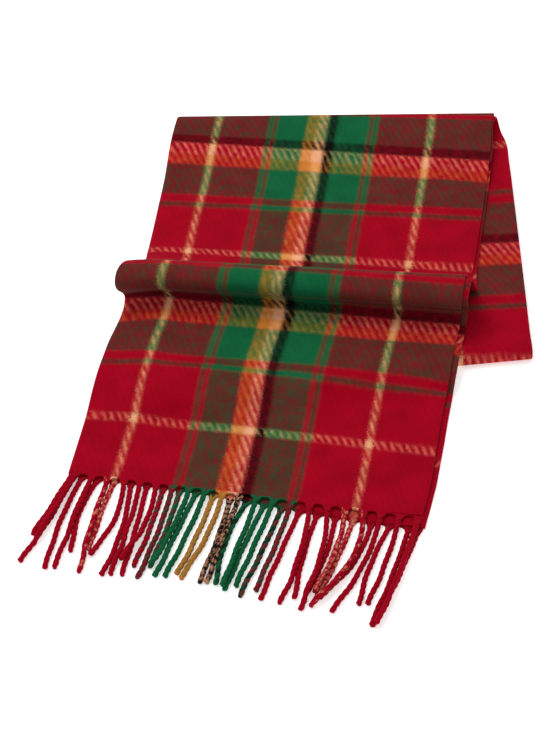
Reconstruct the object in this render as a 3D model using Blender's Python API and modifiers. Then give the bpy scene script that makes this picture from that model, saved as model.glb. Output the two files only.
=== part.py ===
"""Tartan blanket scarf, folded in half lengthwise and laid down in loose folds.

The folded pair of layers starts at a fringed hem on the table, climbs over the
layers below, stands up in one hollow wave, runs back to a loose turn and comes
forward again underneath.  A last turn takes it under itself, where the hidden end
is one rounded solid.  Units are metres, +Z is up and the table is at height 0.
"""
import math
from collections import namedtuple

import bmesh
import bpy
import numpy as np

# ---- the cloth -------------------------------------------------------------
FOLDED_WIDTH = 0.325        # fold to selvedge; the scarf opens to twice this
LAYER = 0.0025              # one layer of thick brushed wool
LAYER_GAP = 0.0010          # air between the two layers of the pair
PAIR = 2 * LAYER + LAYER_GAP
SETTLE = 0.0001             # the pair lies this far above the table
LYING = PAIR / 2 + SETTLE   # height of the pair's middle above what it lies on
CLEAR = 0.0003              # gap kept between neighbouring solids
SELVEDGE_STEP = 0.009       # how far the inner layer shows past the outer one
HEM_SLIP = 0.011            # how far the skewed lower layer shows at the hem's right end

# ---- how it lies -----------------------------------------------------------
# A panel is one straight run: where its fold edge meets its first cream line, and its turn.
Panel = namedtuple("Panel", "x y turn drapes")
FRONT = Panel(-0.1748, -0.0730, math.radians(8.8), True)
BACK = Panel(-0.1260, 0.1560, math.radians(5.8), True)
UNDER = Panel(-0.0920, 0.0, 0.0, False)
HEM_ALONG = -0.0825         # the hem, before the front panel's cream line
LAYOUT_CENTRE = (0.0093, 0.0236)   # middle of the laid scarf's plan, moved to the origin

STACK = 2 * (PAIR + CLEAR)  # height of the two pairs that lie under the top one
STACK_CROWN = 0.0020        # extra height over the turn at the front of the stack
CROWN_REACH = 0.016         # the extra height fades out over this distance
STACK_FRONT_LEFT = -0.0410  # the stack's front edge, at its left and right ends
STACK_FRONT_RIGHT = 0.0050
FRONT_RAMP = 0.032          # the cloth climbs onto the stack over this run
SIDE_RAMP = 0.060           # and sags from its left side over this one
RAMP_LEAD = 0.015           # full height is reached this far before the stack's edge

# The path of the pair's middle, a row for each section, at its left and right ends.
# "along" runs up the panel from its cream line, "rise" is the height above lying flat, on
# the stack for the front and back panels and on the table for the under one, and "inward"
# moves that end to the right.
Row = namedtuple(
    "Row", "panel left_along left_rise left_inward right_along right_rise right_inward"
)
HEM_TO_WAVE = (
    Row(FRONT, HEM_ALONG, 0.0000, 0.0000, HEM_ALONG, 0.0000, -0.0020),
    Row(FRONT, -0.0400, 0.0000, 0.0000, -0.0400, 0.0000, 0.0000),
    Row(FRONT, 0.0000, 0.0010, 0.0000, 0.0000, 0.0000, 0.0000),
    Row(FRONT, 0.0300, 0.0030, -0.0010, 0.0300, 0.0000, 0.0000),
    Row(FRONT, 0.0550, 0.0055, -0.0010, 0.0550, 0.0000, 0.0000),
    Row(FRONT, 0.0800, 0.0060, 0.0000, 0.0800, 0.0000, 0.0000),
    Row(FRONT, 0.1030, 0.0035, 0.0005, 0.1030, 0.0000, 0.0000),
    Row(FRONT, 0.1250, 0.0010, 0.0025, 0.1250, 0.0000, 0.0000),
    Row(FRONT, 0.1430, 0.0000, 0.0040, 0.1470, 0.0000, 0.0010),
)
WAVE = (
    Row(FRONT, 0.1580, 0.0010, 0.0040, 0.1640, 0.0010, 0.0020),
    Row(FRONT, 0.1650, 0.0065, 0.0030, 0.1730, 0.0065, 0.0020),
    Row(FRONT, 0.1610, 0.0160, 0.0010, 0.1765, 0.0140, 0.0020),
    Row(FRONT, 0.1530, 0.0260, -0.0010, 0.1720, 0.0220, 0.0020),
    Row(FRONT, 0.1475, 0.0345, -0.0015, 0.1655, 0.0290, 0.0020),
    Row(FRONT, 0.1460, 0.0415, -0.0015, 0.1640, 0.0350, 0.0020),
    Row(FRONT, 0.1515, 0.0465, -0.0010, 0.1695, 0.0405, 0.0025),
    Row(FRONT, 0.1620, 0.0455, 0.0005, 0.1800, 0.0420, 0.0030),
    Row(FRONT, 0.1710, 0.0410, 0.0020, 0.1915, 0.0395, 0.0045),
    Row(FRONT, 0.1820, 0.0310, 0.0055, 0.2040, 0.0280, 0.0070),
    Row(FRONT, 0.1940, 0.0190, 0.0095, 0.2150, 0.0130, 0.0090),
)
TROUGH = Row(BACK, -0.0240, 0.0090, 0.0000, -0.0300, 0.0020, -0.0030)
TROUGH_TO_TURN = (
    Row(BACK, -0.0080, 0.0045, 0.0000, -0.0130, 0.0000, -0.0040),
    Row(BACK, 0.0200, 0.0015, 0.0000, 0.0200, 0.0000, -0.0030),
    Row(BACK, 0.0700, 0.0000, 0.0000, 0.0700, 0.0000, 0.0000),
    Row(BACK, 0.1200, 0.0000, 0.0000, 0.1200, 0.0000, 0.0030),
    Row(BACK, 0.1500, 0.0005, -0.0010, 0.1500, 0.0010, 0.0050),
    Row(BACK, 0.1730, 0.0025, -0.0015, 0.1730, 0.0045, 0.0055),
    Row(BACK, 0.1950, 0.0045, -0.0010, 0.2020, 0.0085, 0.0060),
)
BELOW_TURN = Row(UNDER, 0.3480, PAIR + CLEAR, -0.0110, 0.3420, PAIR + CLEAR, 0.0000)
UNDER_RUN = (
    Row(UNDER, 0.3100, PAIR + CLEAR, -0.0040, 0.3100, PAIR + CLEAR, 0.0000),
    Row(UNDER, 0.2600, PAIR + CLEAR, 0.0000, 0.2600, PAIR + CLEAR, 0.0000),
    Row(UNDER, 0.1600, PAIR + CLEAR, 0.0000, 0.1700, PAIR + CLEAR, 0.0000),
    Row(UNDER, 0.0600, PAIR + CLEAR, 0.0000, 0.0850, PAIR + CLEAR, 0.0000),
    Row(UNDER, -0.0160, PAIR + CLEAR, 0.0000, 0.0300, PAIR + CLEAR, 0.0000),
)
# A turn is a half circle in the section: where its centre is, at what height, and its radius.
Turn = namedtuple("Turn", "panel along height radius inward")
BACK_TURN_LEFT = Turn(BACK, 0.2150, 0.0152, 0.0058, 0.0000)
BACK_TURN_RIGHT = Turn(BACK, 0.2450, 0.0184, 0.0090, 0.0060)
FRONT_TURN_RADIUS = 0.0039
TURN_STEPS = 8
FRONT_TURN_END = 0.016      # flat run under the stack, past the front turn
PATH_STEPS = 2              # sections made between two rows of the wave
CUT_RUN = 0.005             # straight run on each side of the cut between two stretches

# ---- the hidden end --------------------------------------------------------
HIDDEN_BACK_LEFT = 0.345    # where it ends, far under the back turn
HIDDEN_BACK_RIGHT = 0.340
HIDDEN_GAP = 1.5 * CLEAR    # its front face stays this far from the front turn's cloth
CORE_INSET = 0.006          # how deep the slot between its two edge layers is
EDGE_ROUNDING = 0.0010      # softness of its layers' edges

# ---- the fringe ------------------------------------------------------------
STRAND_WIDTH = 0.0046
ROOT_WIDTH = 0.0019         # a strand is thin where it leaves its strip
STRANDS_PER_LAYER = 22
STRIP_DEPTH = 0.0035        # the whipped hem that the strands grow from
STRIP_HEIGHT = 0.0020
STRIP_ROUNDING = 0.0004
STRIP_END_GAP = 0.0020      # the strip stops this short of the selvedge
UPPER_ROOT_SHIFT = 0.5      # where a strand's root lies in its share of the hem
LOWER_ROOT_SHIFT = 0.9
# Each strand's lean to the left of the warp, in degrees, and its length, in centimetres.
Strand = namedtuple("Strand", "lean length")
UPPER_STRANDS = (
    Strand(12, 11.6), Strand(5, 11.4), Strand(1, 11.6), Strand(5, 9.6), Strand(3, 11.6),
    Strand(4, 11.5), Strand(5, 10.8), Strand(7, 10.4), Strand(8, 11.1), Strand(9, 11.0),
    Strand(7, 11.4), Strand(7, 11.2), Strand(9, 12.0), Strand(10, 12.4), Strand(9, 12.4),
    Strand(8, 12.6), Strand(5, 12.9), Strand(8, 12.9), Strand(6, 12.7), Strand(4, 11.7),
    Strand(7, 11.6), Strand(9, 13.2),
)
LOWER_STRANDS = (
    Strand(9, 8.0), Strand(5, 11.3), Strand(5, 9.0), Strand(2, 9.2), Strand(2, 11.2),
    Strand(5, 11.1), Strand(9, 11.0), Strand(10, 11.2), Strand(8, 10.5), Strand(6, 10.3),
    Strand(2, 10.6), Strand(2, 10.3), Strand(5, 10.6), Strand(8, 10.8), Strand(5, 10.8),
    Strand(3, 10.8), Strand(8, 11.6), Strand(9, 11.4), Strand(13, 11.0), Strand(10, 10.4),
    Strand(13, 11.0), Strand(16, 12.4),
)
STRAND_BOW = 0.0030         # sideways sweep of a strand's middle
BOW_PHASE = 2.1             # the sweep's side and size change by this from strand to strand
WELD = 0.00001
STRAND_POINTS = 5
UPPER_STRAND_HEIGHT = 0.0079
LOWER_STRAND_HEIGHT = 0.0028

# Places across the pair, from its fold: close together where the left side sags.
COLUMNS = (0.003, 0.020, 0.045, 0.070, 0.095, 0.140, 0.200, 0.265, FOLDED_WIDTH)
FOLD_STEPS = 4              # flats round the lengthwise fold


def clear_scene():
    for scene_object in list(bpy.data.objects):
        bpy.data.objects.remove(scene_object, do_unlink=True)


def smooth(amount):
    """Ease from 0 to 1 as amount goes from 0 to 1."""
    amount = min(max(amount, 0.0), 1.0)
    return amount * amount * (3.0 - 2.0 * amount)


def blend(first, second, share):
    return first + (second - first) * share


def plan(panel, across, along):
    """Table position of a place on a panel."""
    cosine, sine = math.cos(panel.turn), math.sin(panel.turn)
    return (
        panel.x + across * cosine + along * sine,
        panel.y - across * sine + along * cosine,
    )


def stack_front(x):
    """Where the stack's front edge lies at this x."""
    share = (x - UNDER.x) / (FOLDED_WIDTH + SELVEDGE_STEP)
    return blend(STACK_FRONT_LEFT, STACK_FRONT_RIGHT, share)


def resting_height(x, y):
    """Height of what the top pair lies on: the table, the stack or the slope between."""
    behind_front = y - stack_front(x)
    right_of_side = x - UNDER.x
    climb = smooth((behind_front + RAMP_LEAD + FRONT_RAMP) / FRONT_RAMP)
    side = smooth((right_of_side + RAMP_LEAD + SIDE_RAMP) / SIDE_RAMP)
    crown = STACK_CROWN * math.exp(-((behind_front - PAIR) / CROWN_REACH) ** 2)
    return (STACK + crown) * climb * side


def turn_rows(left, right):
    """Rows round a half turn, from its top over its far side to its bottom."""
    rows = []
    for step in range(TURN_STEPS + 1):
        angle = math.pi / 2 - math.pi * step / TURN_STEPS
        ends = []
        for side in (left, right):
            sign = 1.0 if side.panel.drapes else -1.0
            along = side.along + sign * side.radius * math.cos(angle)
            height = side.height + side.radius * math.sin(angle)
            support = STACK if side.panel.drapes else 0.0
            ends.append((along, height - support - LYING, side.inward))
        rows.append(Row(left.panel, *ends[0], *ends[1]))
    return rows


def front_turn():
    """The two ends of the turn at the front of the stack."""
    height = LYING + FRONT_TURN_RADIUS
    back_off = FRONT_TURN_RADIUS + PAIR / 2
    left = Turn(UNDER, STACK_FRONT_LEFT + back_off, height, FRONT_TURN_RADIUS, 0.0)
    right = Turn(UNDER, STACK_FRONT_RIGHT + back_off, height, FRONT_TURN_RADIUS, 0.0)
    return left, right


def section_line(row):
    """Middle of the pair along one section, from the fold edge to the selvedge."""
    line = []
    for column in COLUMNS:
        share = column / FOLDED_WIDTH
        along = blend(row.left_along, row.right_along, share)
        inward = blend(row.left_inward, row.right_inward, share)
        rise = blend(row.left_rise, row.right_rise, share)
        x, y = plan(row.panel, column + inward, along)
        support = resting_height(x, y) if row.panel.drapes else 0.0
        line.append((x, y, support + LYING + rise))
    return np.array(line)


def smooth_path(lines, steps):
    """Catmull-Rom sections through the given ones, with steps to each interval."""
    count = len(lines)
    path = []
    for index in range(count - 1):
        before = lines[max(index - 1, 0)]
        start, end = lines[index], lines[index + 1]
        after = lines[min(index + 2, count - 1)]
        for step in range(steps):
            t = step / steps
            path.append(0.5 * (
                2 * start + (end - before) * t
                + (2 * before - 5 * start + 4 * end - after) * t ** 2
                + (3 * start - before - 3 * end + after) * t ** 3
            ))
    path.append(lines[-1])
    return path


def keep_above_rest(path):
    """Lift any section that dips below what the top pair lies on."""
    for line in path:
        for point in line:
            point[2] = max(point[2], resting_height(point[0], point[1]) + LYING)
    return path


def pair_normals(path):
    """Unit normals of the pair's middle, towards its outer layer."""
    grid = np.array(path)
    down_path = np.gradient(grid, axis=0)
    across = np.gradient(grid, axis=1)
    normals = np.cross(across, down_path)
    return normals / np.linalg.norm(normals, axis=2, keepdims=True)


def folded_sheet(path, normals, slip_at_start):
    """Points of one cloth sheet: outer layer, lengthwise fold, inner layer, per section."""
    half_space = (LAYER + LAYER_GAP) / 2
    sheet = []
    for index, (line, normal) in enumerate(zip(path, normals)):
        outward = line[1] - line[0]
        outward = -outward / np.linalg.norm(outward)
        selvedge = line[-1] - line[-2]
        selvedge[2] = 0.0
        selvedge = selvedge / np.linalg.norm(selvedge)
        outer = [point + half_space * up for point, up in zip(line, normal)]
        inner = [point - half_space * up for point, up in zip(line, normal)]
        inner.append(inner[-1] + SELVEDGE_STEP * selvedge)
        if slip_at_start and index == 0:
            forward = path[0] - path[1]
            forward = forward / np.linalg.norm(forward, axis=1, keepdims=True)
            for column, point in enumerate(inner):
                place = COLUMNS[min(column, len(COLUMNS) - 1)] / FOLDED_WIDTH
                point += HEM_SLIP * place * forward[min(column, len(COLUMNS) - 1)]
        fold = []
        for step in range(1, FOLD_STEPS):
            angle = math.pi * step / FOLD_STEPS
            fold.append(
                line[0] + half_space * (math.cos(angle) * normal[0] + math.sin(angle) * outward)
            )
        sheet.append(outer[::-1] + fold + inner)
    return sheet


def cloth_material(name, colour):
    material = bpy.data.materials.new(name)
    material.use_nodes = True
    shader = material.node_tree.nodes["Principled BSDF"]
    shader.inputs["Base Color"].default_value = (*colour, 1.0)
    shader.inputs["Roughness"].default_value = 0.95
    shader.inputs["Metallic"].default_value = 0.0
    return material


def sheet_object(name, sheet, material, collection):
    """A grid primitive laid over the sheet's points and given the cloth's thickness."""
    rows, columns = len(sheet), len(sheet[0])
    bpy.ops.mesh.primitive_grid_add(x_subdivisions=columns - 1, y_subdivisions=rows - 1, size=1)
    cloth = bpy.context.object
    cloth.name = name
    cloth.data.name = name
    for index, vertex in enumerate(cloth.data.vertices):
        vertex.co = sheet[index // columns][index % columns]
    thickness = cloth.modifiers.new("Cloth thickness", "SOLIDIFY")
    thickness.thickness = LAYER
    thickness.offset = 0.0
    thickness.use_even_offset = True
    cloth.data.materials.append(material)
    move_to_collection(cloth, collection)
    return cloth


def move_to_collection(scene_object, collection):
    for owner in list(scene_object.users_collection):
        owner.objects.unlink(scene_object)
    collection.objects.link(scene_object)


def straight_cut(before, after):
    """Two runs that share a section, each cut back from it along one straight line."""
    heading = after[1] - before[-2]
    heading /= np.linalg.norm(heading, axis=1, keepdims=True)
    shared = after[0]
    ending = [shared - CUT_RUN * heading, shared - CLEAR / 2 * heading]
    opening = [shared + CLEAR / 2 * heading, shared + CUT_RUN * heading]
    return before[:-1] + ending, opening + after[1:]


def make_stretches(parts):
    """The front, back and under stretches of the folded pair."""
    hem_lines = [section_line(row) for row in HEM_TO_WAVE]
    wave_lines = [section_line(row) for row in WAVE + (TROUGH,)]
    back_lines = [section_line(row) for row in (TROUGH,) + TROUGH_TO_TURN]
    back_turn_lines = [section_line(row) for row in turn_rows(BACK_TURN_LEFT, BACK_TURN_RIGHT)]
    under_lines = [section_line(row) for row in (BELOW_TURN,) + UNDER_RUN]
    left_turn, right_turn = front_turn()
    under_lines += [section_line(row) for row in turn_rows(left_turn, right_turn)]
    tail = Row(
        UNDER, left_turn.along + FRONT_TURN_END, 0.0, 0.0,
        right_turn.along + FRONT_TURN_END, 0.0, 0.0,
    )
    under_lines.append(section_line(tail))

    wave = smooth_path(hem_lines[-2:] + wave_lines + back_lines[1:2], PATH_STEPS)
    wave = wave[PATH_STEPS:-PATH_STEPS]
    front = keep_above_rest(hem_lines[:-1] + wave)
    back = keep_above_rest(back_lines) + back_turn_lines + under_lines[:1]
    front, back = straight_cut(front, back)
    back, under = straight_cut(back, under_lines)
    normals = pair_normals(front + back + under)

    first = 0
    for name, colour, run in (
        ("scarf_front_stretch", (0.35, 0.01, 0.03), front),
        ("scarf_back_stretch", (0.05, 0.17, 0.09), back),
        ("scarf_under_stretch", (0.30, 0.02, 0.03), under),
    ):
        sheet = folded_sheet(run, normals[first:first + len(run)], slip_at_start=first == 0)
        sheet_object(name, sheet, cloth_material(name + "_wool", colour), parts)
        first += len(run)


def slab(name, corners, bottom, top, rounding, collection):
    """A cube primitive whose plan is moved to four corners, with rounded edges."""
    bpy.ops.mesh.primitive_cube_add(size=1)
    body = bpy.context.object
    body.name = name
    body.data.name = name
    for vertex in body.data.vertices:
        right, back, upper = vertex.co.x > 0, vertex.co.y > 0, vertex.co.z > 0
        x, y = corners[(2 if back else 0) + (1 if right else 0)]
        vertex.co = (x, y, top if upper else bottom)
    edge = body.modifiers.new("Rounded edges", "BEVEL")
    edge.width = rounding
    edge.segments = 2
    move_to_collection(body, collection)
    return body


def inset(corners, distance):
    """Plan corners drawn in from the sides and the back, but not from the front face."""
    front_left, front_right, back_left, back_right = corners
    return (
        (front_left[0] + distance, front_left[1] + distance),
        (front_right[0] - distance, front_right[1] + distance),
        (back_left[0] + distance, back_left[1] - distance),
        (back_right[0] - distance, back_right[1] - distance),
    )


def make_hidden_layers(parts, cutters):
    """The end that nothing shows of: one rounded solid with two layers at its edges."""
    back_off = FRONT_TURN_RADIUS + PAIR / 2 + FRONT_TURN_END + HIDDEN_GAP

    def front_corner(across):
        turn_line = blend(STACK_FRONT_LEFT, STACK_FRONT_RIGHT, across / FOLDED_WIDTH)
        return (UNDER.x + across, turn_line + back_off)

    front_left = front_corner(PAIR / 2)
    front_right = front_corner(FOLDED_WIDTH - PAIR / 2)
    back_left = (front_left[0], HIDDEN_BACK_LEFT)
    back_right = (front_right[0], HIDDEN_BACK_RIGHT)
    corners = (front_left, front_right, back_left, back_right)
    lower = slab("scarf_hidden_layers", corners, 0.0, LAYER, EDGE_ROUNDING, parts)
    upper = slab("hidden_upper_layer", corners, PAIR - LAYER, PAIR, EDGE_ROUNDING, cutters)
    core_corners = inset(corners, CORE_INSET)
    core_top = PAIR - LAYER / 2
    core = slab("hidden_core", core_corners, LAYER / 2, core_top, EDGE_ROUNDING, cutters)
    for extra in (core, upper):
        extra.hide_render = True
        extra.display_type = "WIRE"
        union = lower.modifiers.new("Join " + extra.name, "BOOLEAN")
        union.operation = "UNION"
        union.object = extra
    lower.data.materials.append(cloth_material("scarf_hidden_wool", (0.25, 0.02, 0.03)))


def strand_points(root, lean, length, heights, bow):
    """Middle line of one strand, from inside its strip to its tip."""
    heading = FRONT.turn + math.radians(lean)
    forward = (-math.sin(heading), -math.cos(heading))
    sideways = (-forward[1], forward[0])
    points = []
    for step in range(STRAND_POINTS):
        share = step / (STRAND_POINTS - 1)
        reach = share * length
        sweep = bow * math.sin(math.pi * share)
        x = root[0] + forward[0] * reach + sideways[0] * sweep
        y = root[1] + forward[1] * reach + sideways[1] * sweep
        height = blend(heights[0], heights[1], smooth(share * (STRAND_POINTS - 1)))
        points.append((x, y, height))
    return points


def strand_mesh(name, lines, collection):
    """All the strands of one strip as four-sided tubes in one closed mesh object."""
    curve = bpy.data.curves.new(name, "CURVE")
    curve.dimensions = "3D"
    curve.bevel_depth = STRAND_WIDTH / 2
    curve.bevel_resolution = 0
    curve.use_fill_caps = True
    for line in lines:
        spline = curve.splines.new("POLY")
        spline.points.add(len(line) - 1)
        for point, place in zip(spline.points, line):
            point.co = (*place, 1.0)
        spline.points[0].radius = ROOT_WIDTH / STRAND_WIDTH
    tubes = bpy.data.objects.new(name + "_curve", curve)
    collection.objects.link(tubes)
    bpy.context.view_layer.update()
    evaluated = tubes.evaluated_get(bpy.context.evaluated_depsgraph_get())
    mesh = bpy.data.meshes.new_from_object(evaluated)
    mesh.name = name
    weld_mesh(mesh)
    bpy.data.objects.remove(tubes)
    strands = bpy.data.objects.new(name, mesh)
    collection.objects.link(strands)
    strands.hide_render = True
    strands.display_type = "WIRE"
    return strands


def weld_mesh(mesh):
    """Weld the caps of tubes made from a curve."""
    work = bmesh.new()
    work.from_mesh(mesh)
    bmesh.ops.remove_doubles(work, verts=work.verts, dist=WELD)
    work.to_mesh(mesh)
    work.free()


def make_fringe(name, strands, strip_bottom, slip, heights, shift, parts, cutters):
    """One layer's fringe: the whipped strip in front of its hem, with its strands."""
    hem_front = HEM_ALONG - CLEAR
    pitch = FOLDED_WIDTH / STRANDS_PER_LAYER

    def strip_place(across, depth):
        return plan(FRONT, across, hem_front - depth - slip * across / FOLDED_WIDTH)

    start, end = PAIR / 2, FOLDED_WIDTH - STRIP_END_GAP
    corners = (
        strip_place(start, STRIP_DEPTH), strip_place(end, STRIP_DEPTH),
        strip_place(start, 0.0), strip_place(end, 0.0),
    )
    strip_top = strip_bottom + STRIP_HEIGHT
    strip = slab(name, corners, strip_bottom, strip_top, STRIP_ROUNDING, parts)
    first_root, last_root = start + STRAND_WIDTH / 2, end - STRAND_WIDTH / 2
    lines = []
    for index, strand in enumerate(strands):
        across = min(max((index + shift) * pitch, first_root), last_root)
        root = strip_place(across, STRIP_DEPTH / 2)
        bow = STRAND_BOW * math.sin(BOW_PHASE * index)
        lines.append(strand_points(root, strand.lean, strand.length / 100, heights, bow))
    union = strip.modifiers.new("Join strands", "BOOLEAN")
    union.operation = "UNION"
    union.object = strand_mesh(name + "_strands", lines, cutters)
    strip.data.materials.append(cloth_material(name + "_wool", (0.40, 0.02, 0.04)))


def centre_layout():
    """Bring the middle of the plan to the origin."""
    for scene_object in bpy.data.objects:
        if scene_object.type == "MESH":
            for vertex in scene_object.data.vertices:
                vertex.co.x -= LAYOUT_CENTRE[0]
                vertex.co.y -= LAYOUT_CENTRE[1]


def main():
    clear_scene()
    parts = bpy.data.collections.new("tartan_blanket_scarf")
    cutters = bpy.data.collections.new("helpers")
    bpy.context.scene.collection.children.link(parts)
    bpy.context.scene.collection.children.link(cutters)
    make_stretches(parts)
    make_hidden_layers(parts, cutters)
    lower_bottom = (LAYER - STRIP_HEIGHT) / 2
    upper_bottom = PAIR - LAYER + lower_bottom
    upper_heights = (upper_bottom + STRIP_HEIGHT / 2, UPPER_STRAND_HEIGHT)
    lower_heights = (lower_bottom + STRIP_HEIGHT / 2, LOWER_STRAND_HEIGHT)
    make_fringe(
        "scarf_upper_fringe", UPPER_STRANDS, upper_bottom, 0.0,
        upper_heights, UPPER_ROOT_SHIFT, parts, cutters,
    )
    make_fringe(
        "scarf_lower_fringe", LOWER_STRANDS, lower_bottom, HEM_SLIP,
        lower_heights, LOWER_ROOT_SHIFT, parts, cutters,
    )
    centre_layout()


main()
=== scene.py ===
# %% [markdown]
# # A folded tartan blanket scarf
# A blanket scarf is one thick woven rectangle with its own warp ends twisted into a fringe.
# This one is folded in half lengthwise, laid down in loose turns, and has one hollow wave
# standing across it. The CAD frame gives the plain solids. This lesson lays a fine cloth on
# each of them, weaves the tartan in a material and twists every cord of the fringe.

# %% Load the frame
import math
from collections import namedtuple

import bpy
import numpy as np
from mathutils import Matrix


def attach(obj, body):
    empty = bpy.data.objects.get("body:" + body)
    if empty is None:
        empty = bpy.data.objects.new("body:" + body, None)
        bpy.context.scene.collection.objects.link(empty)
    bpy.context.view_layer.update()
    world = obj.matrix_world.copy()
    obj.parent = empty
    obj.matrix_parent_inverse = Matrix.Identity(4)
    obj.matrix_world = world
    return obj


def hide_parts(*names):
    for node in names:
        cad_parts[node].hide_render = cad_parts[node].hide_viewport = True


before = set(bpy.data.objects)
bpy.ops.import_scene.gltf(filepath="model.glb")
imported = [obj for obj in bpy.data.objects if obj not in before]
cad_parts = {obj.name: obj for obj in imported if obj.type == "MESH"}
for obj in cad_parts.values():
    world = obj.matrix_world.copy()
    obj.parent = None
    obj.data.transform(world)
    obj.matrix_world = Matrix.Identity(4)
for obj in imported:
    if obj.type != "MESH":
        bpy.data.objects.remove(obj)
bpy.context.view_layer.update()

print("nodes:", ", ".join(sorted(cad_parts)))

# %% [markdown]
# The camera comes first, because everything is judged through it. A long lens a little over
# two metres away flattens the perspective, as in a catalogue. It looks down at 41.5 degrees,
# so the flat panels, the standing wave and the fringe can all be read in one picture.

# %% The camera
LAYOUT_CENTRE = (0.0093, 0.0236)    # what the frame's origin is, in the layout below
CAMERA_ELEVATION = math.radians(41.5)
CAMERA_DISTANCE = 2.279
LENS_MM = 117.87
SENSOR_HEIGHT_MM = 36.0

bpy.ops.object.select_all(action="DESELECT")
bpy.ops.object.camera_add(
    location=(
        -LAYOUT_CENTRE[0],
        -LAYOUT_CENTRE[1] - CAMERA_DISTANCE * math.cos(CAMERA_ELEVATION),
        CAMERA_DISTANCE * math.sin(CAMERA_ELEVATION),
    ),
    rotation=(math.pi / 2 - CAMERA_ELEVATION, 0.0, 0.0),
)
camera = bpy.context.object
camera.data.sensor_fit = "VERTICAL"
camera.data.sensor_height = SENSOR_HEIGHT_MM
camera.data.lens = LENS_MM
bpy.context.scene.camera = camera
print("camera at", [round(value, 3) for value in camera.location])

# %% [markdown]
# Next come the sizes of the cloth. Brushed wool this thick measures about 2.5 mm, and the two
# layers of the folded width lie a millimetre apart. Each straight run of the laid scarf, here
# called a panel, has a place on the table and a small turn.

# %% Sizes of the cloth and of the panels
FOLDED_WIDTH = 0.325        # fold to selvedge; the scarf opens to twice this
LAYER = 0.0025
LAYER_GAP = 0.0010
PAIR = 2 * LAYER + LAYER_GAP
SETTLE = 0.0001
LYING = PAIR / 2 + SETTLE   # height of the pair's middle above what it lies on
CLEAR = 0.0003
SELVEDGE_STEP = 0.006       # how far the inner layer shows past the outer one
HEM_SLIP = 0.011            # how far the skewed lower layer shows at the hem's right end
SLIP_FROM, SLIP_OVER = 0.25, 0.65   # shares of the width where it starts and is spread
SLIP_REACH = 0.060          # the slip fades out over this length of cloth
SLIP_ENDS = 0.720           # the layers' patterns meet again this far from the hem
SLIP_FADE = 0.090

Panel = namedtuple("Panel", "x y turn drapes")
FRONT = Panel(-0.1748, -0.0730, math.radians(8.8), True)
BACK = Panel(-0.1260, 0.1560, math.radians(5.8), True)
UNDER = Panel(-0.0920, 0.0, 0.0, False)
HEM_LEFT, HEM_RIGHT = -0.0765, -0.0855      # the cut end isn't quite square

STACK = 2 * (PAIR + CLEAR)  # the two pairs under the top one
STACK_CROWN = 0.0020        # its front edge is a little fuller
CROWN_REACH = 0.016
STACK_FRONT_LEFT = -0.0410
STACK_FRONT_RIGHT = 0.0050
FRONT_RAMP = 0.032          # the top pair climbs the stack over this length at its front
SIDE_RAMP = 0.060           # and over this one at its left
RAMP_LEAD = 0.015           # and is up this far before the edge

# %% [markdown]
# The way that the cloth runs is a table: one row for each section across it. "along" is the
# distance from the panel's first cream line, "rise" is the height above lying flat, and
# "inward" moves that end to the right. A loft through such sections is how a draughtsman
# would draw cloth, and it keeps the fine surface on the plain solids of the frame.

# %% Sections along the cloth
Row = namedtuple(
    "Row", "panel left_along left_rise left_inward right_along right_rise right_inward"
)
HEM_TO_WAVE = [Row(FRONT, *ends) for ends in (
    (HEM_LEFT, 0.0000, 0.0000, HEM_RIGHT, 0.0000, 0.0005),
    (-0.0400, 0.0000, 0.0000, -0.0400, 0.0000, 0.0010),
    (0.0000, 0.0010, 0.0000, 0.0000, 0.0000, 0.0005),
    (0.0300, 0.0030, -0.0010, 0.0300, 0.0000, 0.0005),
    (0.0550, 0.0055, -0.0010, 0.0550, 0.0000, 0.0010),
    (0.0800, 0.0060, 0.0000, 0.0800, 0.0000, 0.0020),
    (0.1030, 0.0035, 0.0005, 0.1030, 0.0000, 0.0030),
    (0.1250, 0.0010, 0.0025, 0.1250, 0.0000, 0.0035),
    (0.1430, 0.0000, 0.0040, 0.1470, 0.0000, 0.0045),
)]
WAVE = [Row(FRONT, *ends) for ends in (
    (0.1580, 0.0010, 0.0040, 0.1640, 0.0010, 0.0055),
    (0.1650, 0.0065, 0.0030, 0.1730, 0.0065, 0.0055),
    (0.1610, 0.0160, 0.0010, 0.1765, 0.0140, 0.0055),
    (0.1530, 0.0260, -0.0010, 0.1720, 0.0220, 0.0055),
    (0.1475, 0.0345, -0.0015, 0.1655, 0.0290, 0.0055),
    (0.1460, 0.0415, -0.0015, 0.1640, 0.0350, 0.0055),
    (0.1515, 0.0465, -0.0010, 0.1695, 0.0405, 0.0060),
    (0.1620, 0.0455, 0.0005, 0.1800, 0.0420, 0.0060),
    (0.1710, 0.0410, 0.0020, 0.1915, 0.0395, 0.0065),
    (0.1820, 0.0310, 0.0055, 0.2040, 0.0280, 0.0080),
    (0.1940, 0.0190, 0.0095, 0.2150, 0.0130, 0.0090),
)]
TROUGH = Row(BACK, -0.0240, 0.0090, 0.0000, -0.0300, 0.0020, -0.0030)
TROUGH_TO_TURN = [Row(BACK, *ends) for ends in (
    (-0.0080, 0.0045, 0.0000, -0.0130, 0.0000, -0.0045),
    (0.0200, 0.0015, 0.0000, 0.0200, 0.0000, -0.0040),
    (0.0700, 0.0000, 0.0000, 0.0700, 0.0000, -0.0015),
    (0.1200, 0.0000, 0.0000, 0.1200, 0.0000, 0.0010),
    (0.1500, 0.0005, -0.0010, 0.1500, 0.0010, 0.0025),
    (0.1730, 0.0025, -0.0015, 0.1730, 0.0045, 0.0030),
    (0.1950, 0.0045, -0.0010, 0.2020, 0.0085, 0.0035),
)]
SECOND_PAIR = PAIR + CLEAR
UNDER_INWARD = 0.0030
BELOW_TURN = Row(UNDER, 0.3480, SECOND_PAIR, -0.0110, 0.3420, SECOND_PAIR, UNDER_INWARD)
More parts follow.
